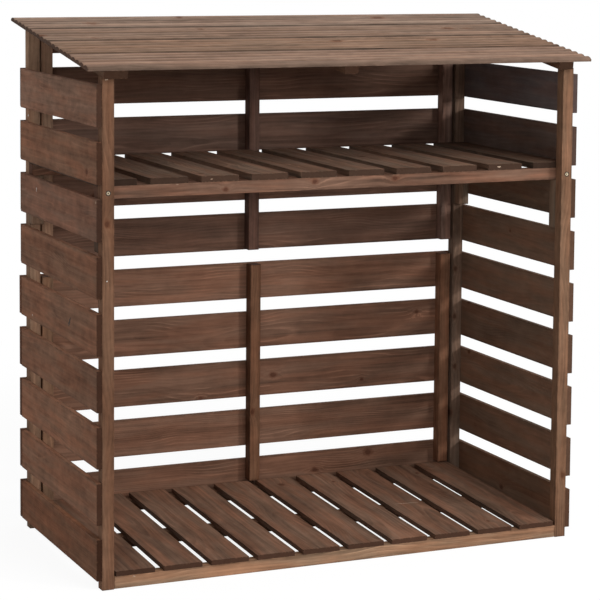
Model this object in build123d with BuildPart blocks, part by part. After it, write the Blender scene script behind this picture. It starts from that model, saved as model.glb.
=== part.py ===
from build123d import *
import math
import os

# Open-fronted log store: two slatted side panels, two slatted back panels,
# a floor, one shelf and a lean-to roof that falls to the front.
# Millimetres. +Z up, -Y is the open front, origin on the ground in the
# middle of the footprint.

# ---- stock sizes ----
post = 28.0                 # square section of posts, rails and bearers
board_height = 91.5         # back boards
side_board_height = 92.7
board_thickness = 12.0      # side and back boards
shelf_slat_width = 90.0
shelf_slat_thickness = 14.0
floor_slat_width = 92.0
floor_slat_thickness = 11.2
middle_rafter_width = 34.0
left_rafter_width = 54.0
right_rafter_width = 38.0
right_rafter_inset = 10.0     # set in from the outer face of its posts
rafter_thickness = 18.0
roof_board_thickness = 10.0

# ---- overall layout ----
outer_width = 1200.0        # over the faces of the side boards
board_pitch = 125.6         # side and back boards, bottom edge to bottom edge
side_board_count = 9
back_boards_per_panel = 5
side_board_bottom = 21.5    # ground to the lowest side board
back_board_bottom = 24.0    # ground to the lowest back board
lower_back_overhang = 1.0   # lower back boards run past the side boards
upper_back_inset = 2.5      # upper back boards stop short of their faces
top_back_board_inset = 20.0   # top back board ends further in
lower_middle_post_x = 2.0   # middle posts stand a little off centre
upper_middle_post_x = -4.0
panel_depth = 575.0         # front of front posts to back of rear posts
post_front_setback = 1.5    # side boards stop this far behind the post face
back_post_inset = 2.0       # back posts stop short of the board edges
back_post_left_gap = 4.0    # back panels' end posts to the side panels' posts
back_post_right_gap = 8.0

# ---- floor ----
floor_fall = 2.2            # degrees, the floor drains to the front
floor_lift = 0.5            # front rail kept just off the ground
floor_back_gap = 13.0       # floor stops short of the back boards
floor_slat_count = 10
floor_slat_left_gap = 3.75  # end slats to the posts; they sit nearer the left
floor_slat_right_gap = 5.75
floor_post_clearance = 2.0  # back posts end above the floor

# ---- shelf ----
shelf_rail_bottom = 866.0
shelf_slat_count = 10
shelf_block_drop = 118.0     # support blocks under the shelf's ends

# ---- roof ----
roof_slope = 8.3            # degrees
roof_front_rise = 40.3      # top side board to the roof's top front edge
roof_front_overhang = 17.0  # roof edge in front of the posts
roof_side_overhang = 26.0   # roof past the side boards
roof_back_gap = 10.4        # roof stops short of the back boards
roof_board_count = 4
roof_rib_count = 5          # rounded ribs along each board
roof_rib_rise = 4.5         # crest of a rib above the groove beside it
roof_groove_width = 2.0     # flat bottom between two ribs

# ---- edges ----
arris = 1.0                 # small rounding on long board edges
post_arris = 1.5

# ---- derived ----
overall_depth = roof_front_overhang + panel_depth + board_thickness
side_outer = outer_width / 2
post_outer = side_outer - board_thickness
post_inner = post_outer - post
rear_face = overall_depth / 2
panel_back = rear_face - board_thickness
panel_front = panel_back - panel_depth
rear_post_front = panel_back - post
front_post_back = panel_front + post
slope = math.radians(roof_slope)
roof_front = -overall_depth / 2
fall = math.radians(floor_fall)
post_half = post / 2
rail_length = 2 * post_inner
floor_depth = panel_depth - floor_back_gap
shelf_block_bottom = shelf_rail_bottom - shelf_block_drop
shelf_width = 2 * post_outer
shelf_top_of_rail = shelf_rail_bottom + post
shelf_slat_pitch = (shelf_width - shelf_slat_width) / (shelf_slat_count - 1)
floor_slats_width = rail_length - floor_slat_left_gap - floor_slat_right_gap
floor_slat_pitch = (floor_slats_width - floor_slat_width) / (floor_slat_count - 1)
floor_slats_centre_x = (floor_slat_left_gap - floor_slat_right_gap) / 2
lower_back_width = outer_width + 2 * lower_back_overhang
upper_back_width = outer_width - 2 * upper_back_inset
top_back_board_width = outer_width - 2 * top_back_board_inset
side_board_length = panel_depth - post_front_setback
left_rafter_x = left_rafter_width / 2 - post_outer
right_rafter_x = post_outer - right_rafter_inset - right_rafter_width / 2

side_boards_top = side_board_bottom + board_pitch * (side_board_count - 1) + side_board_height

# The roof and rafters are drawn on a plane lying on the underside of the
# roof boards: local X along the width, local Y up the slope.
roof_width = outer_width + 2 * roof_side_overhang
roof_front_height = side_boards_top + roof_front_rise
roof_drop = roof_board_thickness * math.cos(slope)
roof_underside_front = roof_front + roof_board_thickness * math.sin(slope)
roof_length = (panel_back - roof_back_gap - roof_underside_front) / math.cos(slope)
roof_board_width = roof_length / roof_board_count
roof_plane = Plane(
    origin=(0, roof_underside_front, roof_front_height - roof_drop),
    x_dir=(1, 0, 0),
    z_dir=(0, -math.sin(slope), math.cos(slope)),
)

# The floor is drawn on a plane lying on the top of its rails, hinged at
# the foot of the front rail.
floor_plane = Plane(
    origin=(0, panel_front, floor_lift + post * math.cos(fall)),
    x_dir=(1, 0, 0),
    z_dir=(0, -math.sin(fall), math.cos(fall)),
)


def rafter_underside(y):
    """Height of the rafter undersides above the ground at depth y."""
    front = roof_front_height - (roof_board_thickness + rafter_thickness) / math.cos(slope)
    return front + (y - roof_front) * math.tan(slope)


def floor_top(y):
    """Height of the floor slats above the ground at depth y."""
    front = floor_lift + (post + floor_slat_thickness) / math.cos(fall)
    return front + (y - panel_front) * math.tan(fall)


# ---- side panel posts: feet on the ground, tops cut to the roof slope ----
with BuildSketch(Plane.YZ) as front_post_face:
    with BuildLine():
        Polyline(
            (panel_front, 0),
            (front_post_back, 0),
            (front_post_back, rafter_underside(front_post_back)),
            (panel_front, rafter_underside(panel_front)),
            close=True,
        )
    make_face()

with BuildSketch(Plane.YZ) as rear_post_face:
    with BuildLine():
        Polyline(
            (rear_post_front, 0),
            (panel_back, 0),
            (panel_back, rafter_underside(panel_back)),
            (rear_post_front, rafter_underside(rear_post_front)),
            close=True,
        )
    make_face()

with BuildPart() as left_front_post:
    with Locations((-post_outer, 0, 0)):
        add(front_post_face.sketch)
    extrude(amount=post, dir=(1, 0, 0))
    fillet(left_front_post.edges().filter_by(Axis.Z), radius=post_arris)

with BuildPart() as right_front_post:
    with Locations((post_inner, 0, 0)):
        add(front_post_face.sketch)
    extrude(amount=post, dir=(1, 0, 0))
    fillet(right_front_post.edges().filter_by(Axis.Z), radius=post_arris)

with BuildPart() as left_rear_post:
    with Locations((-post_outer, 0, 0)):
        add(rear_post_face.sketch)
    extrude(amount=post, dir=(1, 0, 0))
    fillet(left_rear_post.edges().filter_by(Axis.Z), radius=post_arris)

with BuildPart() as right_rear_post:
    with Locations((post_inner, 0, 0)):
        add(rear_post_face.sketch)
    extrude(amount=post, dir=(1, 0, 0))
    fillet(right_rear_post.edges().filter_by(Axis.Z), radius=post_arris)

# ---- side boards, nailed to the outer faces of the posts ----
side_board_centre_y = panel_back - side_board_length / 2
side_centre_z = (
    side_board_bottom + side_board_height / 2 + board_pitch * (side_board_count - 1) / 2
)

with BuildPart() as left_side_boards:
    with BuildSketch(Plane.YZ.offset(-side_outer)):
        with Locations((side_board_centre_y, side_centre_z)):
            with GridLocations(0, board_pitch, 1, side_board_count):
                Rectangle(side_board_length, side_board_height)
    extrude(amount=board_thickness)
    fillet(
        left_side_boards.edges().filter_by(Axis.Y).group_by(Axis.X)[0],
        radius=arris,
    )

with BuildPart() as right_side_boards:
    with BuildSketch(Plane.YZ.offset(post_outer)):
        with Locations((side_board_centre_y, side_centre_z)):
            with GridLocations(0, board_pitch, 1, side_board_count):
                Rectangle(side_board_length, side_board_height)
    extrude(amount=board_thickness)
    fillet(
        right_side_boards.edges().filter_by(Axis.Y).group_by(Axis.X)[-1],
        radius=arris,
    )

# ---- back panels: five boards each on three posts, one above the other ----
# The top board is shorter and cut level with the underside of the roof boards.
back_panel_rise = board_pitch * (back_boards_per_panel - 1)
lower_back_centre_z = back_board_bottom + board_height / 2 + back_panel_rise / 2
upper_back_bottom = back_board_bottom + board_pitch * back_boards_per_panel
top_back_board_bottom = upper_back_bottom + back_panel_rise
upper_back_centre_z = (upper_back_bottom + top_back_board_bottom - board_pitch + board_height) / 2
back_boards_top = rafter_underside(panel_back) + rafter_thickness / math.cos(slope)
left_back_post_x = back_post_left_gap + post_half - post_inner
right_back_post_x = post_inner - post_half - back_post_right_gap

with BuildPart() as lower_back_boards:
    with BuildSketch(Plane.XZ.offset(-panel_back)):
        with Locations((0, lower_back_centre_z)):
            with GridLocations(0, board_pitch, 1, back_boards_per_panel):
                Rectangle(lower_back_width, board_height)
    extrude(amount=-board_thickness)
    fillet(
        lower_back_boards.edges().filter_by(Axis.X).group_by(Axis.Y)[-1],
        radius=arris,
    )

with BuildPart() as upper_back_boards:
    with BuildSketch(Plane.XZ.offset(-panel_back)):
        with Locations((0, upper_back_centre_z)):
            with GridLocations(0, board_pitch, 1, back_boards_per_panel - 1):
                Rectangle(upper_back_width, board_height)
        with Locations((0, top_back_board_bottom)):
            Rectangle(
                top_back_board_width,
                back_boards_top - top_back_board_bottom,
                align=(Align.CENTER, Align.MIN),
            )
    extrude(amount=-board_thickness)
    fillet(
        upper_back_boards.edges().filter_by(Axis.X).group_by(Axis.Y)[-1],
        radius=arris,
    )

# Lower back posts stand just above the sloping floor.
lower_post_bottom = floor_top(panel_back) + floor_post_clearance
lower_post_top = back_board_bottom + back_panel_rise + board_height - back_post_inset
upper_post_bottom = upper_back_bottom + back_post_inset

with BuildSketch(Plane.YZ) as lower_back_post_face:
    with BuildLine():
        Polyline(
            (rear_post_front, lower_post_bottom),
            (panel_back, lower_post_bottom),
            (panel_back, lower_post_top),
            (rear_post_front, lower_post_top),
            close=True,
        )
    make_face()

with BuildSketch(Plane.YZ) as upper_back_post_face:
    with BuildLine():
        Polyline(
            (rear_post_front, upper_post_bottom),
            (panel_back, upper_post_bottom),
            (panel_back, rafter_underside(panel_back)),
            (rear_post_front, rafter_underside(rear_post_front)),
            close=True,
        )
    make_face()

back_posts = {}
for level, face, middle_x in (
    ("lower", lower_back_post_face, lower_middle_post_x),
    ("upper", upper_back_post_face, upper_middle_post_x),
):
    for side, centre_x in (
        ("left", left_back_post_x),
        ("middle", middle_x),
        ("right", right_back_post_x),
    ):
        with BuildPart() as back_post:
            with Locations((centre_x - post_half, 0, 0)):
                add(face.sketch)
            extrude(amount=post, dir=(1, 0, 0))
            fillet(
                back_post.edges().filter_by(Axis.Z).group_by(Axis.Y)[0],
                radius=post_arris,
            )
        back_posts[f"{level}_{side}_back_post"] = back_post

# ---- floor: three rails across, ten slats front to back ----
floor_rail_half = floor_depth / 2
floor_rail_places = {
    "floor_front_rail": post_half,
    "floor_middle_rail": floor_rail_half,
    "floor_rear_rail": floor_depth - post_half,
}
floor_rails = {}
for rail_name, rail_y in floor_rail_places.items():
    with BuildPart() as floor_rail:
        with BuildSketch(floor_plane):
            with Locations((0, rail_y)):
                Rectangle(rail_length, post)
        extrude(amount=-post)
    floor_rails[rail_name] = floor_rail

with BuildPart() as floor_slats:
    with BuildSketch(floor_plane):
        with Locations((floor_slats_centre_x, floor_rail_half)):
            with GridLocations(floor_slat_pitch, 0, floor_slat_count, 1):
                Rectangle(floor_slat_width, floor_depth)
    extrude(amount=floor_slat_thickness)

# ---- shelf: slats between the posts, on a front rail and a rear bearer ----
shelf_depth = panel_depth - 2 * post
shelf_centre_y = front_post_back + shelf_depth / 2

with BuildPart() as shelf_front_rail:
    with BuildSketch(Plane.XY.offset(shelf_rail_bottom)):
        with Locations((0, front_post_back + post_half)):
            Rectangle(shelf_width, post)
    extrude(amount=post)

with BuildPart() as shelf_rear_bearer:
    with BuildSketch(Plane.XY.offset(shelf_rail_bottom)):
        with Locations((0, rear_post_front - post_half)):
            Rectangle(shelf_width, post)
    extrude(amount=post)

with BuildPart() as shelf_slats:
    with BuildSketch(Plane.XY.offset(shelf_top_of_rail)):
        with Locations((0, shelf_centre_y)):
            with GridLocations(shelf_slat_pitch, 0, shelf_slat_count, 1):
                Rectangle(shelf_slat_width, shelf_depth)
    extrude(amount=shelf_slat_thickness)

# Support blocks under the shelf, against the posts and side boards.
block_centre_x = post_outer - post_half
shelf_blocks = {}
for side, sign in (("left", -1), ("right", 1)):
    for end, block_y in (
        ("front", front_post_back + post_half),
        ("rear", rear_post_front - post_half),
    ):
        with BuildPart() as shelf_block:
            with BuildSketch(Plane.XY.offset(shelf_block_bottom)):
                with Locations((sign * block_centre_x, block_y)):
                    Rectangle(post, post)
            extrude(amount=shelf_block_drop)
        shelf_blocks[f"{side}_{end}_shelf_block"] = shelf_block

# ---- rafters up the slope, under the roof boards ----
rafters = {}
for side, centre_x, width in (
    ("left", left_rafter_x, left_rafter_width),
    ("middle", 0.0, middle_rafter_width),
    ("right", right_rafter_x, right_rafter_width),
):
    with BuildPart() as rafter:
        with BuildSketch(roof_plane):
            with Locations((centre_x, roof_length / 2)):
                Rectangle(width, roof_length)
        extrude(amount=-rafter_thickness)
        long_edges = rafter.edges().sort_by(SortBy.LENGTH)[-4:]
        fillet(long_edges.sort_by(Axis.Z)[:2], radius=arris)
    rafters[f"{side}_rafter"] = rafter

# ---- roof boards: each a plank with rounded ribs running the width ----
# Drawn on the left end of the roof: local X up the slope, local Y square to it.
roof_end_plane = Plane(
    origin=(-roof_width / 2, roof_underside_front, roof_front_height - roof_drop),
    x_dir=(0, math.cos(slope), math.sin(slope)),
    z_dir=(1, 0, 0),
)
roof_rib_pitch = roof_board_width / roof_rib_count
roof_rib_half = (roof_rib_pitch - roof_groove_width) / 2
groove_floor = roof_board_thickness - roof_rib_rise

roof_boards = {}
for row in range(roof_board_count):
    board_front = roof_board_width * row
    board_back = board_front + roof_board_width
    with BuildPart() as roof_board:
        with BuildSketch(roof_end_plane):
            with BuildLine():
                Polyline(
                    (board_front, groove_floor),
                    (board_front, 0),
                    (board_back, 0),
                    (board_back, groove_floor),
                )
                for rib in range(roof_rib_count):
                    rib_start = board_front + roof_rib_pitch * rib
                    crest = rib_start + roof_rib_pitch / 2
                    arc_start = (crest - roof_rib_half, groove_floor)
                    arc_end = (crest + roof_rib_half, groove_floor)
                    Line((rib_start, groove_floor), arc_start)
                    ThreePointArc(arc_start, (crest, roof_board_thickness), arc_end)
                    Line(arc_end, (rib_start + roof_rib_pitch, groove_floor))
            make_face()
        extrude(amount=roof_width)
    roof_boards[f"roof_board_{row + 1}"] = roof_board

# ---- export, one file per piece ----
pieces = {
    "left_front_post": left_front_post,
    "left_rear_post": left_rear_post,
    "right_front_post": right_front_post,
    "right_rear_post": right_rear_post,
    "left_side_boards": left_side_boards,
    "right_side_boards": right_side_boards,
    "lower_back_boards": lower_back_boards,
    "upper_back_boards": upper_back_boards,
    **back_posts,
    **floor_rails,
    "floor_slats": floor_slats,
    "shelf_front_rail": shelf_front_rail,
    "shelf_rear_bearer": shelf_rear_bearer,
    "shelf_slats": shelf_slats,
    **shelf_blocks,
    **rafters,
    **roof_boards,
}

os.makedirs("parts", exist_ok=True)
for name, piece in pieces.items():
    piece.part.label = name
    export_step(piece.part, f"parts/{name}.step")
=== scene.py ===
import math
import random

import bpy
from mathutils import Matrix, Vector
from mathutils.bvhtree import BVHTree


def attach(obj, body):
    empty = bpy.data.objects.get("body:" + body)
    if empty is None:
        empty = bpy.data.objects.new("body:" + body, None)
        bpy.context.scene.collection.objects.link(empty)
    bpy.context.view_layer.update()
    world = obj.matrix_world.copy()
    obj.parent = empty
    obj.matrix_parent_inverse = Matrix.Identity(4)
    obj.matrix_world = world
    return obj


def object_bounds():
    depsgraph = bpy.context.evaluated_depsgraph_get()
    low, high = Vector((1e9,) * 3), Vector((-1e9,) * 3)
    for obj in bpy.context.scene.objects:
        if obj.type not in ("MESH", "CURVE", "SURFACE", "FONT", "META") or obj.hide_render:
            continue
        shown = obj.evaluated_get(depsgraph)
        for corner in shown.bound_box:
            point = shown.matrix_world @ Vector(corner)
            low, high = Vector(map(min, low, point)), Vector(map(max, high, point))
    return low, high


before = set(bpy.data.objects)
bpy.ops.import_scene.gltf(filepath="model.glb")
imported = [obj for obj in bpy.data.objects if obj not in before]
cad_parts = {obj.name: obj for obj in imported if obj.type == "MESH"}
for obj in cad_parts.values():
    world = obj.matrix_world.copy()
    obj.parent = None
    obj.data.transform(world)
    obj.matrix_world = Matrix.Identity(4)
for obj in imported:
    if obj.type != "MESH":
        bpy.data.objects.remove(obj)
cad_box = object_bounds()

# Open-fronted log store in brown stained softwood. Metres; +Z up, -Y front.
MM = 1000.0                     # millimetres in a metre: grain and small pieces are set in mm
WHITE = (1.0, 1.0, 1.0, 1.0)

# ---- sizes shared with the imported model: for boards, their width and pitch ----
BACK_BOARDS = (0.0915, 0.1256)
SIDE_BOARDS = (0.0927, 0.1256)
SHELF_SLATS = (0.090, 0.12067)
FLOOR_SLATS = (0.092, 0.11317)
FLOOR_FALL = math.radians(2.2)
ROOF_SLOPE = math.radians(8.3)
ROOF_RIBS = 5                   # ribs on each roof board

# ---- camera: a long lens from the left front, shifted down ----
CAMERA_PLACE = Vector((-2.1018, -4.7861, 1.4543))
CAMERA_YAW = 0.4141
CAMERA_PITCH = 0.0927
CAMERA_ROLL = 0.0079
CAMERA_LENS = 131.8
CAMERA_SENSOR = 36.0
CAMERA_SHIFT = (0.0021, -0.2761)


def place_camera():
    yaw, pitch, roll = CAMERA_YAW, CAMERA_PITCH, CAMERA_ROLL
    level = math.cos(pitch)
    ahead = Vector((math.sin(yaw) * level, math.cos(yaw) * level, -math.sin(pitch)))
    right = Vector((math.cos(yaw), -math.sin(yaw), 0.0))
    above = right.cross(ahead)
    rolled_right = math.cos(roll) * right + math.sin(roll) * above
    rolled_above = math.cos(roll) * above - math.sin(roll) * right
    turn = Matrix((rolled_right, rolled_above, -ahead)).transposed()
    data = bpy.data.cameras.new("camera")
    data.lens = CAMERA_LENS
    data.sensor_width = CAMERA_SENSOR
    data.shift_x, data.shift_y = CAMERA_SHIFT
    camera = bpy.data.objects.new("camera", data)
    camera.matrix_world = Matrix.Translation(CAMERA_PLACE) @ turn.to_4x4()
    bpy.context.scene.collection.objects.link(camera)
    bpy.context.scene.camera = camera


# ---- shader helpers ----
NOISE_MIDDLE = (0.3, 0.7)       # most of a noise lies between these


class Graph:
    """Short calls for building a shader node tree."""

    def __init__(self, tree):
        self.tree = tree

    def node(self, kind, **settings):
        made = self.tree.nodes.new(kind)
        for key, value in settings.items():
            setattr(made, key, value)
        return made

    def put(self, socket, value):
        """value is another node's socket, or a plain number, colour or vector."""
        if isinstance(value, bpy.types.NodeSocket):
            self.tree.links.new(value, socket)
        elif value is not None:
            socket.default_value = value

    def math(self, operation, a, b=None, c=None):
        made = self.node("ShaderNodeMath", operation=operation)
        for socket, value in zip(made.inputs, (a, b, c)):
            self.put(socket, value)
        return made.outputs[0]

    def vector(self, operation, a, b=None, scale=None):
        """The third socket is left alone: no operation here has a third vector."""
        made = self.node("ShaderNodeVectorMath", operation=operation)
        for socket, value in zip(made.inputs, (a, b, None, scale)):
            self.put(socket, value)
        return made.outputs["Value" if operation == "LENGTH" else "Vector"]

    def join(self, x, y, z):
        made = self.node("ShaderNodeCombineXYZ")
        for socket, value in zip(made.inputs, (x, y, z)):
            self.put(socket, value)
        return made.outputs[0]

    def split(self, vector):
        made = self.node("ShaderNodeSeparateXYZ")
        self.put(made.inputs[0], vector)
        return made.outputs

    def noise(self, vector, detail=2.0, roughness=0.5):
        """Values run from about 0.2 to 0.8 round 0.5. The vector carries the scale."""
        made = self.node("ShaderNodeTexNoise")
        self.put(made.inputs["Vector"], vector)
        self.put(made.inputs["Scale"], 1.0)
        self.put(made.inputs["Detail"], detail)
        self.put(made.inputs["Roughness"], roughness)
        return made.outputs["Fac"]

    def random(self, value):
        """Three random numbers, 0 to 1, for each value."""
        made = self.node("ShaderNodeTexWhiteNoise", noise_dimensions="1D")
        self.put(made.inputs["W"], value)
        return self.split(made.outputs["Color"])

    def remap(self, value, low, high, start, end, **settings):
        made = self.node("ShaderNodeMapRange", **settings)
        for name, number in (("Value", value), ("From Min", low), ("From Max", high),
                             ("To Min", start), ("To Max", end)):
            self.put(made.inputs[name], number)
        return made.outputs["Result"]

    def step(self, value, low, high, start=0.0, end=1.0):
        """A smooth step from start at low to end at high."""
        return self.remap(value, low, high, start, end, interpolation_type="SMOOTHSTEP")

    def fit(self, value, low, high, start, end):
        """A straight line through start at low and end at high, not clamped."""
        return self.remap(value, low, high, start, end, clamp=False)

    def between(self, share, start, end):
        """start where share is 0 and end where it is 1."""
        return self.fit(share, 0.0, 1.0, start, end)

    def swing(self, noise, start=-1.0, end=1.0):
        """Spreads the middle of a noise from start to end."""
        return self.fit(noise, *NOISE_MIDDLE, start, end)

    def product(self, a, b):
        return self.math("MULTIPLY", a, b)

    def mix(self, factor, a, b):
        """Mixes two colours, whose sockets go by place as other kinds share their names."""
        made = self.node("ShaderNodeMix", data_type="RGBA")
        colour_a, colour_b = made.inputs[6], made.inputs[7]
        self.put(made.inputs["Factor"], factor)
        self.put(colour_a, a)
        self.put(colour_b, b)
        return made.outputs[2]

    def finish(self, kind, shader):
        """Joins a shader to the tree's output."""
        self.put(self.node(kind).inputs["Surface"], shader.outputs[0])


def new_material(name):
    material = bpy.data.materials.new(name)
    material.use_nodes = True
    material.node_tree.nodes.clear()
    return material, Graph(material.node_tree)


# ---- wood grain: one shared group works out rings, knots, ends and wear, in mm ----
SEED_SHIFT = 53.0               # keeps the noise of one board clear of the next one's
SECOND_DRAW = 0.37              # added to a seed for three more random numbers

# Noises drawn out along the grain: length, width, detail, an offset that
# sets each apart from the others, and roughness.
DRAWN_NOISES = {
    "wander": (330.0, 120.0, 1.0, 2.9, 0.6),
    "ripple": (60.0, 14.0, 2.0, 6.2, 0.6),
    "pale_lines": (180.0, 40.0, 2.0, 9.4, 0.6),
    "streak": (420.0, 11.0, 3.0, 1.7, 0.6),
    "patch": (200.0, 60.0, 3.0, 8.3, 0.6),
    "cloud": (38.0, 30.0, 3.0, 15.1, 0.65),
    "hue": (230.0, 34.0, 2.0, 12.6, 0.6),
    "fibre": (30.0, 1.3, 2.0, 4.1, 0.6),
}

# Stray knots: each cell of a stretched pattern may hold one.
KNOT_CELL_LONG, KNOT_CELL_WIDE = 210.0, 75.0
KNOT_SQUEEZE = 0.8              # under 1 draws a stray knot out along the grain
KNOT_RADII = (2.0, 7.0)
NO_KNOT = 60.0                  # radii added to a cell without a knot, to put it out of reach
KNOT_WOBBLE = 9.0               # size of the dents in a knot's outline
KNOT_DENTS = (0.8, 1.2)

# Distances from a knot's middle in its own radii, over which things come and go.
KNOT_FADE = (0.75, 1.15)
RIM_IN, RIM_OUT = (0.7, 1.0), (1.05, 2.0)
BEND_FADE = 0.35                # the smaller, the further out a knot bends the grain
BEND_DEEP = 9.0                 # how far it pushes the grain aside

# Growth rings: where their middle may lie, how far apart they are, how far
# they stray, and how askew to them a board may be cut.
PITH_ACROSS, PITH_DEEP = (-60.0, 60.0), (12.0, 55.0)
RING_SPACING = (5.0, 11.0)
RING_WANDER = (-34.0, 34.0)
RING_RIPPLE = (-1.6, 1.6)
RING_LEAN = (-0.02, 0.02)

# Shares of a ring over which its dark late wood and its pale line come and go.
LATE_IN, LATE_OUT = (0.3, 0.88), (0.92, 1.0)
LINE_IN, LINE_OUT = (0.0, 0.08), (0.12, 0.34)
LINE_PATCHES = (0.5, 0.64)

# Distances from a face or an edge over which its marks fade.
ARRIS_RUB = (0.3, 2.2)
EDGE_DARKENING = (0.0, 7.0)
END_GRAIN = (0.2, 2.2)
EDGE_PATCH_LONG, EDGE_PATCH_WIDE = 22.0, 6.0
RUBBED_PATCHES, DARKENED_PATCHES = (0.5, 0.7), (0.7, 0.35)

LATE_HEIGHT, FIBRE_HEIGHT, RIM_HEIGHT = 0.4, 0.25, 0.6


def knot_reach(g, along, across, shift, knottiness, placed):
    """How far off the nearest knot is, counted in its own radii."""
    cell_point = g.join(
        g.math("ADD", g.math("DIVIDE", along, KNOT_CELL_LONG), shift),
        g.math("ADD", g.math("DIVIDE", across, KNOT_CELL_WIDE), shift),
        0.0,
    )
    cells = g.node("ShaderNodeTexVoronoi", voronoi_dimensions="2D", feature="F1")
    g.put(cells.inputs["Vector"], cell_point)
    g.put(cells.inputs["Scale"], 1.0)
    away = g.split(g.vector("SUBTRACT", cell_point, cells.outputs["Position"]))
    pick = g.split(cells.outputs["Color"])
    knot_along = g.product(away[0], KNOT_CELL_LONG * KNOT_SQUEEZE)
    knot_across = g.product(away[1], KNOT_CELL_WIDE)
    off = g.vector("LENGTH", g.join(knot_along, knot_across, 0.0))
    missing = g.math("GREATER_THAN", pick[0], knottiness)
    reach = g.math("DIVIDE", off, g.between(pick[1], *KNOT_RADII))
    reach = g.math("ADD", reach, g.product(missing, NO_KNOT))
    reach = g.math("MINIMUM", reach, placed)
    wobble = g.noise(g.join(
        g.math("DIVIDE", along, KNOT_WOBBLE), g.math("DIVIDE", across, KNOT_WOBBLE), shift
    ))
    return g.product(reach, g.swing(wobble, *KNOT_DENTS))


def ring_radius(g, along, across, through, drawn, push, chance):
    """How far off the middle of the growth rings is, with their unevenness."""
    radius = g.vector("LENGTH", g.join(
        0.0,
        g.math("ADD", across, g.between(chance[0], *PITH_ACROSS)),
        g.math("ADD", through, g.between(chance[1], *PITH_DEEP)),
    ))
    radius = g.math("ADD", radius, g.between(drawn("wander"), *RING_WANDER))
    radius = g.math("ADD", radius, g.between(drawn("ripple"), *RING_RIPPLE))
    radius = g.math("ADD", radius, g.product(along, g.between(chance[2], *RING_LEAN)))
    return g.math("SUBTRACT", radius, push)


def edge_marks(g, halves, along, across, through, shift):
    """Where the end grain, the darkening near the edges and the rubbed arrises show."""
    gaps = [
        g.math("SUBTRACT", half, g.math("ABSOLUTE", place))
        for half, place in zip(halves, (along, across, through))
    ]
    near = g.math("MINIMUM", gaps[1], gaps[2])
    far = g.math("MAXIMUM", gaps[1], gaps[2])
    from_edge = g.math("MAXIMUM", near, g.math("MINIMUM", far, gaps[0]))
    patches = g.noise(
        g.join(g.math("ADD", g.math("DIVIDE", along, EDGE_PATCH_LONG), shift),
               g.math("DIVIDE", across, EDGE_PATCH_WIDE),
               g.math("DIVIDE", through, EDGE_PATCH_WIDE)),
        detail=3.0,
    )
    end = g.step(gaps[0], *END_GRAIN, 1.0, 0.0)
    edge = g.product(g.step(from_edge, *EDGE_DARKENING, 1.0, 0.0), g.step(patches, *DARKENED_PATCHES))
    wear = g.product(g.step(from_edge, *ARRIS_RUB, 1.0, 0.0), g.step(patches, *RUBBED_PATCHES))
    return end, edge, wear


def wood_group():
    """Grain from growth rings cut by the board, in the board's own millimetres.

    Local runs along, across and through the board from its middle, Half is
    half its size, Seed tells boards apart, and Placed is how far off the
    nearest listed knot is, counted in its own radii.
    """
    tree = bpy.data.node_groups.new("wood_grain", "ShaderNodeTree")
    for name, kind in (("Local", "NodeSocketVector"), ("Half", "NodeSocketVector"),
                       ("Seed", "NodeSocketFloat"), ("Knottiness", "NodeSocketFloat"),
                       ("Placed", "NodeSocketFloat")):
        tree.interface.new_socket(name, in_out="INPUT", socket_type=kind)
    g = Graph(tree)
    source = g.node("NodeGroupInput").outputs
    along, across, through = g.split(g.vector("SCALE", source["Local"], scale=MM))
    halves = g.split(g.vector("SCALE", source["Half"], scale=MM))
    chance = g.random(source["Seed"])
    more = g.random(g.math("ADD", source["Seed"], SECOND_DRAW))
    shift = g.product(source["Seed"], SEED_SHIFT)

    reach = knot_reach(g, along, across, shift, source["Knottiness"], source["Placed"])
    knot = g.step(reach, *KNOT_FADE, 1.0, 0.0)
    rim = g.product(g.step(reach, *RIM_IN), g.step(reach, *RIM_OUT, 1.0, 0.0))
    fade = g.math("POWER", g.product(reach, BEND_FADE), 2.0)
    push = g.product(g.math("EXPONENT", g.product(fade, -1.0)), BEND_DEEP)

    def drawn(name):
        """A noise drawn out along the grain and bent round the knots."""
        length, width, detail, offset, roughness = DRAWN_NOISES[name]
        return g.noise(
            g.join(
                g.math("ADD", g.math("DIVIDE", along, length), shift),
                g.math("ADD", g.math("DIVIDE", g.math("ADD", across, push), width), offset),
                g.math("DIVIDE", through, width),
            ),
            detail=detail,
            roughness=roughness,
        )

    radius = ring_radius(g, along, across, through, drawn, push, chance)
    turn = g.math("FRACT", g.math("DIVIDE", radius, g.between(more[0], *RING_SPACING)))
    late = g.product(g.step(turn, *LATE_IN), g.step(turn, *LATE_OUT, 1.0, 0.0))
    line = g.product(g.step(turn, *LINE_IN), g.step(turn, *LINE_OUT, 1.0, 0.0))
    line = g.product(line, g.step(drawn("pale_lines"), *LINE_PATCHES))
    fibre = g.swing(drawn("fibre"))
    end, edge, wear = edge_marks(g, halves, along, across, through, shift)
    height = g.math("ADD", g.product(late, LATE_HEIGHT), g.product(fibre, FIBRE_HEIGHT))
    height = g.math("SUBTRACT", height, g.product(rim, RIM_HEIGHT))

    # Streak to Fibre mostly run from -1 to 1, Height is for the bump, and the
    # others run from 0 to 1.
    answers = {
        "Late": late,
        "Line": line,
        "Streak": g.swing(drawn("streak")),
        "Patch": g.swing(drawn("patch")),
        "Cloud": g.swing(drawn("cloud")),
        "Hue": g.swing(drawn("hue")),
        "Fibre": fibre,
        "Knot": knot,
        "KnotRing": rim,
        "End": end,
        "Edge": edge,
        "Wear": wear,
        "Height": height,
        "Shade": more[1],       # one number for each board
    }
    for name in answers:
        tree.interface.new_socket(name, in_out="OUTPUT", socket_type="NodeSocketFloat")
    sink = g.node("NodeGroupOutput").inputs
    for name, value in answers.items():
        g.put(sink[name], value)
    return tree


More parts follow.
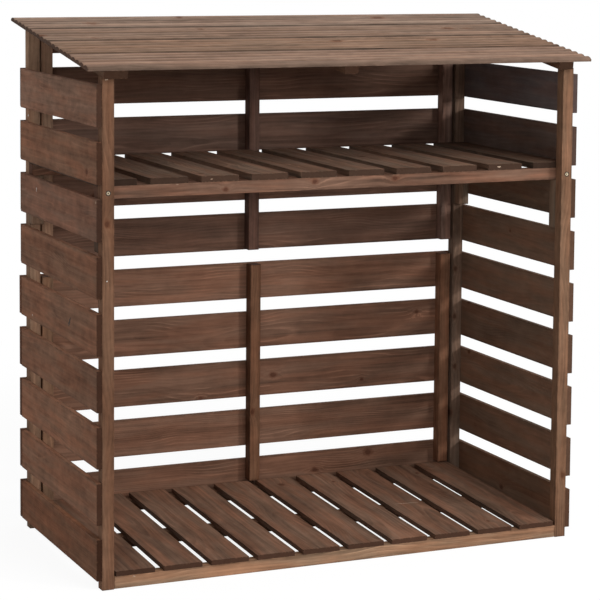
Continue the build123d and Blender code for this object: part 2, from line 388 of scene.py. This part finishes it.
# ---- timber: how a kind of wood looks ----
TIMBER = {
    # How strongly patches, streaks, clouds, fibres, rings and pale lines show.
    "mottle": 0.14,
    "streaks": 0.13,
    "cloud": 0.08,
    "fibre": 0.05,
    "rings": 0.14,
    "lines": 0.25,
    "edge": 0.25,               # how much darker the wood is near its edges
    "end": 0.45,                # brightness of the end grain beside the rest
    "end_share": 0.85,          # how much of its own colour the end grain has
    "wear": 0.3,                # how much of the worn colour rubbed arrises have
    "spread": 0.05,             # how much boards differ in brightness
    "drift": 0.8,               # how far the hue wanders
    "gloss": 0.1,
}
TO_RED = (0.07, -0.03, -0.09)
TO_OLIVE = (-0.07, 0.03, 0.07)
KNOT_TINT = (0.42, 0.3, 0.26)
RIM_TINT = (0.62, 0.45, 0.38)
END_TINT = (1.0, 0.86, 0.8)
WORN_TINT = (1.45, 1.45, 1.45)


def look(colour, **changes):
    """One kind of timber: TIMBER with changes, and colours made from its middle one."""
    def tinted(tint):
        return tuple(c * t for c, t in zip(colour, tint)) + (1.0,)

    kind = {**TIMBER, **changes}
    kind["red"] = tinted([1.0 + t * kind["drift"] for t in TO_RED])
    kind["olive"] = tinted([1.0 + t * kind["drift"] for t in TO_OLIVE])
    kind["knot_colour"] = tinted(KNOT_TINT)
    kind["rim_colour"] = tinted(RIM_TINT)
    kind["end_colour"] = tinted([kind["end"] * t for t in END_TINT])
    kind["worn_colour"] = tinted(WORN_TINT)
    return kind


# ---- wood on the CAD nodes ----
AXES = "XYZ"
SEED_STEP = 3.17                # between the seeds of one panel's boards
# FACING: how squarely a face has to look up, sideways or forwards to take its painted light or
# shade.
FACING = (0.5, 0.8)             # how squarely a face has to look up, sideways or forwards
HUE_SPAN = (-0.6, 0.6)          # from red at the first to olive at the second
KNOT_SHARE, RIM_SHARE = 0.85, 0.6
ROUGHNESS = (0.88, 0.76)        # in dark streaks and in pale ones
BUMP_STRENGTH = 0.6
BUMP_DISTANCE = 0.0005
PLACED_SQUEEZE = 0.7            # draws a listed knot out along the grain
FAR_OFF = 99.0                  # radii to the nearest listed knot where there is none

# Listed knots, by node: along, across and radius in mm from the node's middle.
KNOTS = {
    "roof_board_2": ((73.0, 30.0, 9.0), (328.0, 31.0, 8.0)),
    "roof_board_3": ((-503.0, -50.0, 7.0), (440.0, 13.0, 10.0), (494.0, 10.0, 8.0)),
    "roof_board_4": ((-456.0, -20.0, 10.0), (317.0, 21.0, 10.0)),
    "lower_back_boards": ((63.0, 4.0, 5.5), (313.0, -26.0, 3.5), (333.0, -220.0, 7.0),
                          (182.0, -253.0, 5.0), (470.0, 141.0, 4.0), (-134.0, -41.0, 3.5)),
    "shelf_front_rail": ((-70.0, 5.0, 4.5), (133.0, 5.0, 4.5), (-288.0, -4.0, 4.0)),
    "left_front_post": ((246.0, -3.0, 5.0),),
    "right_front_post": ((-418.0, 5.0, 5.0),),
    "right_rear_post": ((-160.0, -7.0, 4.5), (-293.0, -4.0, 4.0), (-35.0, -6.0, 4.0)),
    "lower_middle_back_post": ((-99.0, -7.0, 4.5),),
    "floor_slats": ((219.0, 56.0, 6.0),),
}

# Roof boards: shares of a rib's width, and metres from a board's lower edge,
# over which the dark there fades, how dark it is, and how its patches vary.
# The dark at each rib's foot, in its groove, and along the front board's lower
# edge is painted shade.
RIB_SEED = 0.21
RIB_PATCHES = (1.8, 34.0)       # patches to a metre along and across
RIB_FOOT, RIB_FOOT_SHADE = (0.14, 0.36), (0.05, 0.5)
JOINT_PATCHES = 5.0
JOINT_FADE, JOINT_DARK = (0.006, 0.012), (0.35, 0.85)
EAVES_FADE, EAVES_SHADE = (0.004, 0.020), 0.34
RIB_NOISE = (0.35, 0.65)
RIB_TONES = (0.88, 1.14)


def placed_knots(g, along, across, knots):
    """How far off the nearest of the knots is, counted in its own radii."""
    reaches = []
    for place_along, place_across, radius in knots:
        reaches.append(g.vector("LENGTH", g.join(
            g.math("MULTIPLY_ADD", along, PLACED_SQUEEZE * MM / radius,
                   -PLACED_SQUEEZE * place_along / radius),
            g.math("MULTIPLY_ADD", across, MM / radius, -place_across / radius),
            0.0,
        )))
    nearest = reaches[0] if reaches else FAR_OFF
    for reach in reaches[1:]:
        nearest = g.math("MINIMUM", nearest, reach)
    return nearest


def turned_box(node, tilt):
    """A node's box once it is turned by -tilt about the X axis."""
    turn = Matrix.Rotation(-tilt, 3, "X")
    spots = [turn @ v.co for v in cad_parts[node].data.vertices]
    low = Vector([min(s[i] for s in spots) for i in range(3)])
    high = Vector([max(s[i] for s in spots) for i in range(3)])
    return low, high


def own_axes(g, node, lie, tilt):
    """The place along, across and through a node from its middle, and half its size."""
    place = g.node("ShaderNodeTexCoord").outputs["Object"]
    if tilt:
        turned = g.node("ShaderNodeVectorRotate", rotation_type="X_AXIS")
        g.put(turned.inputs["Vector"], place)
        g.put(turned.inputs["Angle"], -tilt)
        place = turned.outputs[0]
    low, high = turned_box(node, tilt)
    middle, half = (low + high) / 2, (high - low) / 2
    parts = g.split(g.vector("SUBTRACT", place, tuple(middle)))
    order = [AXES.index(letter) for letter in lie]
    return [parts[i] for i in order], [half[i] for i in order]


def name_seed(name):
    """A number that tells nodes apart and is the same each run."""
    return float(sum(ord(letter) * (i + 3) for i, letter in enumerate(name)) % 997)


def rib_shade(g, local, halves, ribs, jointed, seed):
    """Paints shade into the foot of each roof rib and along the eaves, and darkens, more, the
    joint in front of the board.
    """
    across = g.math("ADD", local[1], halves[1])
    turn = g.math("DIVIDE", across, 2 * halves[1] / ribs)
    each = g.random(g.math("ADD", g.math("FLOOR", turn), seed + RIB_SEED))
    patches = g.noise(g.join(
        g.product(local[0], RIB_PATCHES[0]), g.product(across, RIB_PATCHES[1]), seed
    ))
    foot = g.step(g.math("FRACT", turn), *RIB_FOOT, 1.0, 0.0)
    dark = g.product(foot, g.fit(patches, *RIB_NOISE, *RIB_FOOT_SHADE))
    if jointed:
        patches = g.noise(g.join(g.product(local[0], JOINT_PATCHES), seed, 0.0), detail=3.0)
        joint = g.step(across, *JOINT_FADE, 1.0, 0.0)
        joint = g.product(joint, g.fit(patches, *RIB_NOISE, *JOINT_DARK))
    else:
        joint = g.step(across, *EAVES_FADE, EAVES_SHADE, 0.0)
    shade = g.math("SUBTRACT", 1.0, g.math("MAXIMUM", dark, joint))
    return g.product(shade, g.between(each[0], *RIB_TONES))


def wood(node, lie, timber, tilt=0.0, repeat=None, knottiness=0.2, shades=(), tints=(),
         top=1.0, side=1.0, front=1.0, length=(1.0, 1.0), ribs=0, jointed=False):
    """Gives a CAD node its own wood.

    lie is the axes along, across and through the board, as in "YZX". For a
    panel, repeat is the width and pitch of its boards, shades how bright each
    of them is, lowest or leftmost first, and tints (board, colour) for boards
    of another hue; these hold each board's own tone and also painted shade
    where light falls less, as on the upper boards under the roof. top, side and
    front paint light or shade on the faces that look up, sideways and forwards,
    and length sets the tone at the node's two ends, which paints light and
    shade along the back boards and the left rear and left back posts.
    ribs is how many ribs run along a roof board, and jointed says that another
    board lies in front of it.
    """
    material, g = new_material(node + "_wood")
    local, halves = own_axes(g, node, lie, tilt)
    placed = placed_knots(g, local[0], local[1], KNOTS.get(node, ()))
    seed = name_seed(node)
    tone = 1.0
    hue = WHITE[:3]
    if repeat:
        width, pitch = repeat
        first = width / 2 - halves[1]
        rank = g.math("ROUND", g.math("DIVIDE", g.math("SUBTRACT", local[1], first), pitch))
        home = g.math("ADD", g.product(rank, pitch), first)
        local[1] = g.math("SUBTRACT", local[1], home)
        halves[1] = width / 2
        seed = g.math("ADD", g.product(rank, SEED_STEP), seed)
        for i, shade in enumerate(shades):
            chosen = g.math("COMPARE", rank, float(i), 0.5)
            tone = g.math("MULTIPLY_ADD", chosen, shade - 1.0, tone)
        for i, tint in tints:
            chosen = g.math("COMPARE", rank, float(i), 0.5)
            hue = g.vector("MULTIPLY", hue, g.mix(chosen, WHITE, tint + (1.0,)))
    group = g.node("ShaderNodeGroup", node_tree=WOOD)
    for name, value in (("Local", g.join(*local)), ("Half", tuple(halves)), ("Seed", seed),
                        ("Knottiness", knottiness), ("Placed", placed)):
        g.put(group.inputs[name], value)
    out = group.outputs

    grain = 1.0
    for name, amount in (("Patch", timber["mottle"]), ("Streak", timber["streaks"]),
                         ("Cloud", timber["cloud"]), ("Fibre", timber["fibre"]),
                         ("Late", -timber["rings"]), ("Line", timber["lines"])):
        grain = g.math("MULTIPLY_ADD", out[name], amount, grain)
    grain = g.product(grain, g.between(out["Edge"], 1.0, 1.0 - timber["edge"]))
    if ribs:
        grain = g.product(grain, rib_shade(g, local, halves, ribs, jointed, seed))

    spread = timber["spread"]
    tone = g.product(tone, g.between(out["Shade"], 1.0 - spread, 1.0 + spread))
    # length: a tone from one end to the other, painted light and shade on the back boards and left
    # posts.
    if length != (1.0, 1.0):
        tone = g.product(tone, g.fit(local[0], -halves[0], halves[0], *length))
    # Painted light and shade: top, side and front make the faces that look up, sideways and
    # forwards lighter or darker.
    facing = g.split(g.node("ShaderNodeNewGeometry").outputs["Normal"])
    for amount, towards in ((top, facing[2]), (side, g.math("ABSOLUTE", facing[0])),
                            (front, g.product(facing[1], -1.0))):
        if amount != 1.0:
            tone = g.product(tone, g.step(towards, *FACING, 1.0, amount))

    colour = g.mix(g.step(out["Hue"], *HUE_SPAN), timber["red"], timber["olive"])
    colour = g.vector("SCALE", colour, scale=grain)
    for name, share, layer in (("Knot", KNOT_SHARE, "knot_colour"),
                               ("KnotRing", RIM_SHARE, "rim_colour"),
                               ("End", timber["end_share"], "end_colour"),
                               ("Wear", timber["wear"], "worn_colour")):
        colour = g.mix(g.product(out[name], share), colour, timber[layer])
    colour = g.vector("SCALE", colour, scale=tone)
    if tints:
        colour = g.vector("MULTIPLY", colour, hue)

    shader = g.node("ShaderNodeBsdfPrincipled")
    g.put(shader.inputs["Base Color"], colour)
    g.put(shader.inputs["Roughness"], g.fit(out["Streak"], -1.0, 1.0, *ROUGHNESS))
    g.put(shader.inputs["Specular IOR Level"], timber["gloss"])
    bump = g.node("ShaderNodeBump")
    g.put(bump.inputs["Height"], out["Height"])
    g.put(bump.inputs["Strength"], BUMP_STRENGTH)
    g.put(bump.inputs["Distance"], BUMP_DISTANCE)
    g.put(shader.inputs["Normal"], bump.outputs[0])
    g.finish("ShaderNodeOutputMaterial", shader)

    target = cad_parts[node]
    if not target.material_slots:
        target.data.materials.append(material)
    for slot in target.material_slots:
        slot.link = "OBJECT"
        slot.material = material


ARRIS_WIDTH = 0.0008
ARRIS_ANGLE = math.radians(40)
WELD_REACH = 0.00001


def soften(node):
    """Rounds the sharp arrises of a CAD node without touching its mesh."""
    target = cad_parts[node]
    weld = target.modifiers.new("join_faces", "WELD")
    weld.merge_threshold = WELD_REACH
    bevel = target.modifiers.new("arris", "BEVEL")
    bevel.width = ARRIS_WIDTH
    bevel.segments = 2
    bevel.limit_method = "ANGLE"
    bevel.angle_limit = ARRIS_ANGLE
    bevel.harden_normals = False
    normals = target.modifiers.new("flat_faces", "WEIGHTED_NORMAL")
    normals.weight = 100


# The panels of boards, by node: the arguments of wood().
PANELS = {
    # top=1.2: painted light on the boards' top faces.
    "left_side_boards": dict(
        lie="YZX", repeat=SIDE_BOARDS, knottiness=0.06, top=1.2, length=(0.93, 1.07),
        timber=look((0.230, 0.110, 0.0650), mottle=0.18, streaks=0.2, cloud=0.2, fibre=0.04,
                    rings=0.05, lines=0.2, end=0.19, end_share=0.92, drift=0.7),
        shades=(0.72, 1.01, 1.09, 0.96, 1.00, 0.90, 0.93, 1.00, 1.26),
        tints=((0, (1.06, 0.98, 0.89)), (6, (0.95, 1.01, 1.11)), (8, (0.93, 1.02, 1.13))),
    ),
    # shades and tints: the upper boards' darker, bluer tone is painted shade from the roof.
    "right_side_boards": dict(
        lie="YZX", repeat=SIDE_BOARDS,
        timber=look((0.192, 0.111, 0.0720), mottle=0.2, streaks=0.12, rings=0.06, lines=0.12),
        shades=(0.83, 1.04, 1.15, 0.93, 1.09, 1.10, 0.78, 0.85, 1.07),
        tints=((0, (1.06, 0.98, 0.91)), (7, (0.91, 1.02, 1.25)), (8, (0.81, 1.04, 1.5))),
    ),
    # length: painted light towards the left end and painted shade towards the right, where the
    # right side boards shade the back.
    "lower_back_boards": dict(
        lie="XZY", repeat=BACK_BOARDS, knottiness=0.05, length=(1.08, 0.92),
        timber=look((0.203, 0.104, 0.0670), mottle=0.16, streaks=0.26, rings=0.1, lines=0.45,
                    drift=0.55),
        shades=(0.94, 1.00, 0.95, 1.00, 1.31),
    ),
    # length: painted light to the left and painted shade to the right; shades and the tint hold
    # painted shade beside each board's own tone.
    "upper_back_boards": dict(
        lie="XZY", repeat=BACK_BOARDS, knottiness=0.05, length=(1.05, 0.95),
        timber=look((0.195, 0.106, 0.0730), mottle=0.16, streaks=0.24, rings=0.1, lines=0.38,
                    drift=0.35),
        shades=(0.85, 1.10, 0.86, 0.83, 0.92),
        tints=((2, (0.94, 1.01, 1.08)),),
    ),
    # side=0.55: painted shade on the slats' side faces in the gaps between them.
    "floor_slats": dict(
        lie="YXZ", tilt=FLOOR_FALL, repeat=FLOOR_SLATS, knottiness=0.05, side=0.55,
        timber=look((0.230, 0.124, 0.080), mottle=0.2, streaks=0.24, end=0.26, end_share=0.96),
        shades=(0.88, 1.05, 1.08, 1.09, 1.02, 1.01, 1.19, 1.08, 1.01, 1.07),
    ),
    # side=0.6: painted shade on the slats' side faces in the gaps between them.
    "shelf_slats": dict(
        lie="YXZ", repeat=SHELF_SLATS, side=0.6,
        timber=look((0.221, 0.133, 0.0905), mottle=0.2, streaks=0.24, end=0.21, end_share=0.95),
        shades=(0.60, 0.90, 1.22, 1.18, 1.09, 1.09, 1.06, 1.20, 1.09, 0.67),
    ),
}

# Middle colours of the posts, which differ more than the boards do: beside each post's own tone
# they hold painted light and shade, lightest on the left rear and upper left back posts and
# darkest on the upper middle post under the roof.
POSTS = {
    "left_front_post": (0.184, 0.092, 0.0533),
    "right_front_post": (0.209, 0.111, 0.065),
    "left_rear_post": (0.335, 0.198, 0.126),
    "right_rear_post": (0.195, 0.125, 0.088),
    "lower_left_back_post": (0.225, 0.126, 0.076),
    "upper_left_back_post": (0.310, 0.185, 0.120),
    "lower_middle_back_post": (0.181, 0.085, 0.047),
    "upper_middle_back_post": (0.143, 0.077, 0.057),
    "lower_right_back_post": (0.229, 0.108, 0.061),
    "upper_right_back_post": (0.200, 0.119, 0.090),
}

# Side faces with painted shade, darker than the front of the same post.
POST_SIDE_SHADE = {
    "lower_middle_back_post": 0.7,
    "upper_middle_back_post": 0.75,
    "right_front_post": 0.92,
}

# Painted light and shade along posts: the tone at the foot and the top, darker low down and
# lighter high up.
POST_LIGHT_FALLOFF = {"left_rear_post": (0.62, 1.2), "lower_left_back_post": (0.9, 1.1)}

# The middle colour of the roof, and each board's own colour against it.
ROOF_COLOUR = (0.360, 0.228, 0.162)
ROOF_TINTS = {
    "roof_board_1": (1.04, 1.04, 1.05),
    "roof_board_2": (0.91, 0.89, 0.85),
    "roof_board_3": (0.96, 0.98, 0.985),
    "roof_board_4": (1.09, 1.17, 1.23),
}

# The rafters' dark end grain is partly painted shade from the roof above them.
RAFTER = look((0.150, 0.077, 0.045), end=0.24, end_share=0.92)
HIDDEN_RAIL = look((0.150, 0.080, 0.050))
FLOOR_FRONT_RAIL = look((0.313, 0.178, 0.107), mottle=0.26, streaks=0.34, lines=0.6)
SHELF_RAIL = look((0.190, 0.097, 0.063), mottle=0.22, streaks=0.3, lines=0.5)
BLOCK = look((0.220, 0.142, 0.096))
SHADED_BLOCK = look((0.090, 0.050, 0.032))


def dress_frame():
    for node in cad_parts:
        soften(node)
        if node in PANELS:
            wood(node, **PANELS[node])
        elif node in POSTS:
            post = look(POSTS[node], rings=0.12, mottle=0.21, streaks=0.2, cloud=0.16, drift=0.45)
            wood(node, "ZXY", post, knottiness=0.03, side=POST_SIDE_SHADE.get(node, 1.0),
                 length=POST_LIGHT_FALLOFF.get(node, (1.0, 1.0)))
        elif node in ROOF_TINTS:
            colour = tuple(t * c for t, c in zip(ROOF_TINTS[node], ROOF_COLOUR))
            roof = look(colour, mottle=0.17, streaks=0.12, cloud=0.1, fibre=0.03, lines=0.15,
                        end=0.22, end_share=0.95, drift=0.3)
            # front=0.68 paints shade on the roof boards' forward faces, and their dark end grain
            # is partly painted shade on the end faces.
            wood(node, "XYZ", roof, tilt=ROOF_SLOPE, knottiness=0.06, front=0.68,
                 ribs=ROOF_RIBS, jointed=node != "roof_board_1")
        elif node.endswith("rafter"):
            wood(node, "YXZ", RAFTER, tilt=ROOF_SLOPE)
        elif node.startswith("floor"):
            rail = FLOOR_FRONT_RAIL if node == "floor_front_rail" else HIDDEN_RAIL
            wood(node, "XZY", rail, tilt=FLOOR_FALL, knottiness=0.0)
        elif node.endswith("block"):
            block = SHADED_BLOCK if node == "left_front_shelf_block" else BLOCK
            wood(node, "ZXY", block, knottiness=0.1)
        else:
            wood(node, "XZY", SHELF_RAIL, knottiness=0.03)


# ---- fixings, chips and scratches: thin pieces that lie on the CAD faces, in mm ----
DETAIL_SEED = 7
ROUND_SIDES = 24
RAGGED_SIDES = 18
FINISH_SCALE = 0.5 * MM         # patches of tone are about 2 mm across
SCREW_TURN = 0.4
UPRIGHT, LEVEL = math.pi / 2, 0.0

# Where the lines that find a face start, clear of the store on its outside.
IN_FRONT, AT_LEFT, ABOVE = -400.0, -700.0, 1400.0
UNDER_SHELF = 200.0             # a start between the floor and the shelf


def from_front(x, z):
    """An aim into the store: where its line starts, and which way it runs."""
    return (x, IN_FRONT, z), (0.0, 1.0, 0.0)


def from_left(y, z):
    return (AT_LEFT, y, z), (1.0, 0.0, 0.0)


def from_above(x, y, start=ABOVE):
    return (x, y, start), (0.0, 0.0, -1.0)


def uneven(name, colour, roughness, metallic=0.0, spread=0.3):
    """A plain finish whose tone drifts a little."""
    material, g = new_material(name)
    place = g.vector("SCALE", g.node("ShaderNodeTexCoord").outputs["Object"], scale=FINISH_SCALE)
    tone = g.swing(g.noise(place, detail=3.0), 1.0 - spread, 1.0 + spread)
    shader = g.node("ShaderNodeBsdfPrincipled")
    g.put(shader.inputs["Base Color"], g.vector("SCALE", colour, scale=tone))
    g.put(shader.inputs["Roughness"], roughness)
    g.put(shader.inputs["Metallic"], metallic)
    g.finish("ShaderNodeOutputMaterial", shader)
    return material


def find_face(node, aim):
    """Where the aim's line first meets the node, and which way that face looks."""
    start, inward = Vector(aim[0]) / MM, Vector(aim[1])
    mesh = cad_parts[node].data
    tree = BVHTree.FromPolygons([v.co for v in mesh.vertices], [p.vertices for p in mesh.polygons])
    place, normal, _, _ = tree.ray_cast(start, inward)
    return place, -normal if normal.dot(inward) > 0.0 else normal


def lay(name, rings, materials, node, aim, turn=0.0):
    """Puts a piece on the face that the aim first meets.

    rings are (points, height, material) from the middle outwards: the flat
    outline of each ring, how high it stands in mm, and which of materials it
    has.
    """
    place, normal = find_face(node, aim)
    count = len(rings[0][0])
    spots = [(0.0, 0.0, rings[0][1] / MM)]
    faces = [(0, i + 1, (i + 1) % count + 1) for i in range(count)]
    skins = [rings[0][2]] * count
    for points, height, _ in rings:
        spots += [(x / MM, y / MM, height / MM) for x, y in points]
    for k in range(1, len(rings)):
        inner, outer = (k - 1) * count + 1, k * count + 1
        for i in range(count):
            j = (i + 1) % count
            faces.append((inner + i, outer + i, outer + j, inner + j))
            skins.append(rings[k][2])
    shape = bpy.data.meshes.new(name)
    shape.from_pydata(spots, [], faces)
    for material in materials:
        shape.materials.append(material)
    for face, skin in zip(shape.polygons, skins):
        face.material_index = skin
    shape.update()
    piece = bpy.data.objects.new(name, shape)
    bpy.context.scene.collection.objects.link(piece)
    piece.matrix_world = (
        Matrix.Translation(place)
        @ normal.to_track_quat("Z", "Y").to_matrix().to_4x4()
        @ Matrix.Rotation(turn, 4, "Z")
    )
    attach(piece, "root")


def lobed(radius, lobe=0.0):
    """A circle, or with lobe set a four-armed one like a cross recess."""
    points = []
    for i in range(ROUND_SIDES):
        angle = math.tau * i / ROUND_SIDES
        reach = radius * (1.0 + lobe * math.cos(4 * math.tau * i / ROUND_SIDES))
        points.append((reach * math.cos(angle), reach * math.sin(angle)))
    return points


def ragged(length, width, rough, chance):
    """An uneven oval, such as a chip."""
    points = []
    for i in range(RAGGED_SIDES):
        angle = math.tau * i / RAGGED_SIDES
        reach = 1.0 + rough * (chance.random() - 0.5)
        points.append((length / 2 * math.cos(angle) * reach, width / 2 * math.sin(angle) * reach))
    return points


def shrunk(points, by):
    return [(x * by, y * by) for x, y in points]


def screw(name, node, aim, metal, pit_shade):
    """A countersunk cross head: its cross recess is painted shade, and the dark ring round its
    hole is crushed wood with painted shade where it sinks.
    """
    rings = [(lobed(1.3, 0.3), 0.10, 1), (lobed(1.7, 0.3), 0.12, 1), (lobed(2.0, 0.2), 0.45, 0),
             (lobed(3.6), 0.50, 0), (lobed(3.9), 0.20, 0), (lobed(4.2), 0.12, 1),
             (lobed(5.6), 0.10, 1), (lobed(6.2), 0.0, 1)]
    lay(name, rings, (metal, pit_shade), node, aim, turn=SCREW_TURN)


def nail(name, node, aim, material, radius=2.2):
    """A low domed head."""
    rings = [(lobed(radius * 0.5), 0.8, 0), (lobed(radius * 0.85), 0.6, 0),
             (lobed(radius), 0.3, 0), (lobed(radius * 1.02), 0.0, 0)]
    lay(name, rings, (material,), node, aim)


def mark(name, node, aim, material, length, width, turn, rough, chance):
    """A chip, crack, staple or scratch: a thin piece with an uneven outline."""
    outline = ragged(length, width, rough, chance)
    rings = [(shrunk(outline, 0.5), 0.35, 0), (shrunk(outline, 0.85), 0.25, 0), (outline, 0.0, 0)]
    lay(name, rings, (material,), node, aim, turn=turn)


# Nails in the roof: x, y and node.
ROOF_NAILS = (
    (-614.0, 183.0, "roof_board_4"), (-606.0, 183.0, "roof_board_4"),
    (-615.0, -125.0, "roof_board_2"), (-608.0, -125.0, "roof_board_2"),
    (584.0, -48.0, "roof_board_2"),
)

# Marks: name, node, aim, finish, length, width, turn and raggedness.
MARKS = (
    ("staple_left_1", "left_side_boards", from_left(162.0, 842.0), "steel",
     11.0, 1.8, UPRIGHT, 0.1),
    ("staple_left_2", "left_side_boards", from_left(198.0, 537.0), "steel",
     4.0, 2.6, UPRIGHT, 0.1),
    # The crack is a dark sheet: painted shade inside the crack.
    ("crack_left", "left_side_boards", from_left(-90.0, 569.0), "pit_shade",
     25.0, 8.0, 0.95, 0.7),
    ("chip_left_end", "left_side_boards", from_left(-277.0, 862.0), "pale",
     7.0, 3.0, 1.2, 0.7),
    ("chip_post_top", "left_front_post", from_front(-578.0, 1130.0), "pale",
     10.0, 4.5, 0.3, 0.7),
    ("chip_shelf_right", "shelf_slats", from_front(406.0, 901.5), "pale",
     9.0, 3.5, LEVEL, 0.7),
    ("chip_shelf_middle", "shelf_slats", from_front(-322.0, 900.5), "worn",
     5.0, 3.0, LEVEL, 0.7),
    ("chip_shelf_left", "shelf_front_rail", from_front(-404.0, 892.0), "worn",
     6.0, 2.4, LEVEL, 0.7),
    ("chip_floor_rail", "floor_front_rail", from_front(-514.0, 25.0), "pale",
     6.0, 3.0, LEVEL, 0.7),
    ("scratch_floor", "floor_slats", from_above(290.0, -35.0, UNDER_SHELF), "pale",
     62.0, 1.6, -0.12, 0.3),
)


def dress_details():
    finishes = {
        "zinc": uneven("screw_zinc", (0.46, 0.38, 0.26), 0.42, metallic=0.7),
        "steel": uneven("nail_steel", (0.52, 0.48, 0.43), 0.4, metallic=0.5),
        "pit_shade": uneven("crushed_wood_and_pit_shade", (0.030, 0.018, 0.012), 0.9),
        "rust": uneven("dark_nail", (0.045, 0.032, 0.026), 0.7),
        "pale": uneven("fresh_wood", (0.44, 0.32, 0.23), 0.85),
        "worn": uneven("worn_wood", (0.33, 0.21, 0.145), 0.85),
    }
    zinc, steel, pit_shade = finishes["zinc"], finishes["steel"], finishes["pit_shade"]
    screw("screw_left_upper", "left_front_post", from_front(-574.0, 882.0), zinc, pit_shade)
    screw("screw_right_upper", "right_front_post", from_front(574.0, 881.0), zinc, pit_shade)
    nail("nail_left_lower", "left_front_post", from_front(-577.0, 689.0), steel, 1.6)
    nail("nail_left_rear", "left_rear_post", from_left(266.0, 1008.0), steel, 2.6)
    for i, (x, y, node) in enumerate(ROOF_NAILS):
        nail("roof_nail_%d" % (i + 1), node, from_above(x, y), finishes["rust"])
    chance = random.Random(DETAIL_SEED)
    for name, node, aim, finish, length, width, turn, rough in MARKS:
        mark(name, node, aim, finishes[finish], length, width, turn, rough, chance)


# ---- stage: pale floor, white world, soft lights ----
FLOOR_SIZE = 60.0
FLOOR_GREY = (0.8, 0.8, 0.8)
FLOOR_SHOWS = 0.18          # share of the floor's real shading that the camera sees
FLOOR_LIT = 0.48            # how bright the lit floor is beside the store
FLOOR_FADE = (1.3, 2.6)     # from here to here the floor turns plain white
WORLD_LIGHT = 0.44

# Soft lights: name, place, target, size and power.
LIGHTS = (
    ("key", (3.3, -4.3, 1.9), (0.0, 0.0, 0.6), (0.8, 0.8), 95.0),
    ("left", (-3.2, -4.5, 2.2), (0.0, 0.0, 0.6), (1.6, 1.2), 21.0),
    ("high", (0.8, -3.6, 3.6), (0.0, 0.0, 0.5), (1.8, 1.4), 62.0),
)


def by_ray(g, lighting, seen):
    """seen is for the camera, directly or mirrored or through glass; lighting for the rest."""
    path = g.node("ShaderNodeLightPath").outputs
    looks = g.math("MAXIMUM", path["Is Camera Ray"], path["Is Glossy Ray"])
    looks = g.math("MAXIMUM", looks, path["Is Transmission Ray"])
    mixed = g.node("ShaderNodeMixShader")
    g.put(mixed.inputs[0], looks)
    g.put(mixed.inputs[1], lighting.outputs[0])
    g.put(mixed.inputs[2], seen.outputs[0])
    return mixed


def make_floor():
    mesh = bpy.data.meshes.new("floor")
    r = FLOOR_SIZE / 2
    mesh.from_pydata([(-r, -r, 0), (r, -r, 0), (r, r, 0), (-r, r, 0)], [], [(0, 1, 2, 3)])
    floor = bpy.data.objects.new("floor", mesh)
    bpy.context.scene.collection.objects.link(floor)
    floor.location.z = cad_box[0].z
    material, g = new_material("floor")
    away = g.vector("LENGTH", g.node("ShaderNodeTexCoord").outputs["Object"])
    shows = g.step(away, *FLOOR_FADE, FLOOR_SHOWS, 0.0)
    matt = g.node("ShaderNodeBsdfDiffuse")
    g.put(matt.inputs["Color"], FLOOR_GREY + (1.0,))
    seen_matt = g.node("ShaderNodeBsdfDiffuse")
    g.put(seen_matt.inputs["Color"], g.vector("SCALE", FLOOR_GREY, scale=shows))
    glow = g.node("ShaderNodeEmission")
    g.put(glow.inputs["Strength"], g.math("SUBTRACT", 1.0, g.product(shows, FLOOR_LIT)))
    both = g.node("ShaderNodeAddShader")
    g.put(both.inputs[0], seen_matt.outputs[0])
    g.put(both.inputs[1], glow.outputs[0])
    g.finish("ShaderNodeOutputMaterial", by_ray(g, matt, both))
    mesh.materials.append(material)


def make_world():
    world = bpy.data.worlds.new("studio")
    world.use_nodes = True
    world.node_tree.nodes.clear()
    g = Graph(world.node_tree)
    soft = g.node("ShaderNodeBackground")
    white = g.node("ShaderNodeBackground")
    for background, strength in ((soft, WORLD_LIGHT), (white, 1.0)):
        g.put(background.inputs["Color"], WHITE)
        g.put(background.inputs["Strength"], strength)
    g.finish("ShaderNodeOutputWorld", by_ray(g, soft, white))
    bpy.context.scene.world = world


def light_studio():
    for name, place, target, size, power in LIGHTS:
        data = bpy.data.lights.new(name, "AREA")
        data.shape = "RECTANGLE"
        data.size, data.size_y = size
        data.energy = power
        light = bpy.data.objects.new(name, data)
        light.location = place
        ahead = Vector(target) - Vector(place)
        light.rotation_euler = ahead.to_track_quat("-Z", "Y").to_euler()
        bpy.context.scene.collection.objects.link(light)


place_camera()
make_world()
make_floor()
light_studio()
WOOD = wood_group()
dress_frame()
dress_details()

scene = bpy.context.scene
scene.view_settings.view_transform = "Standard"
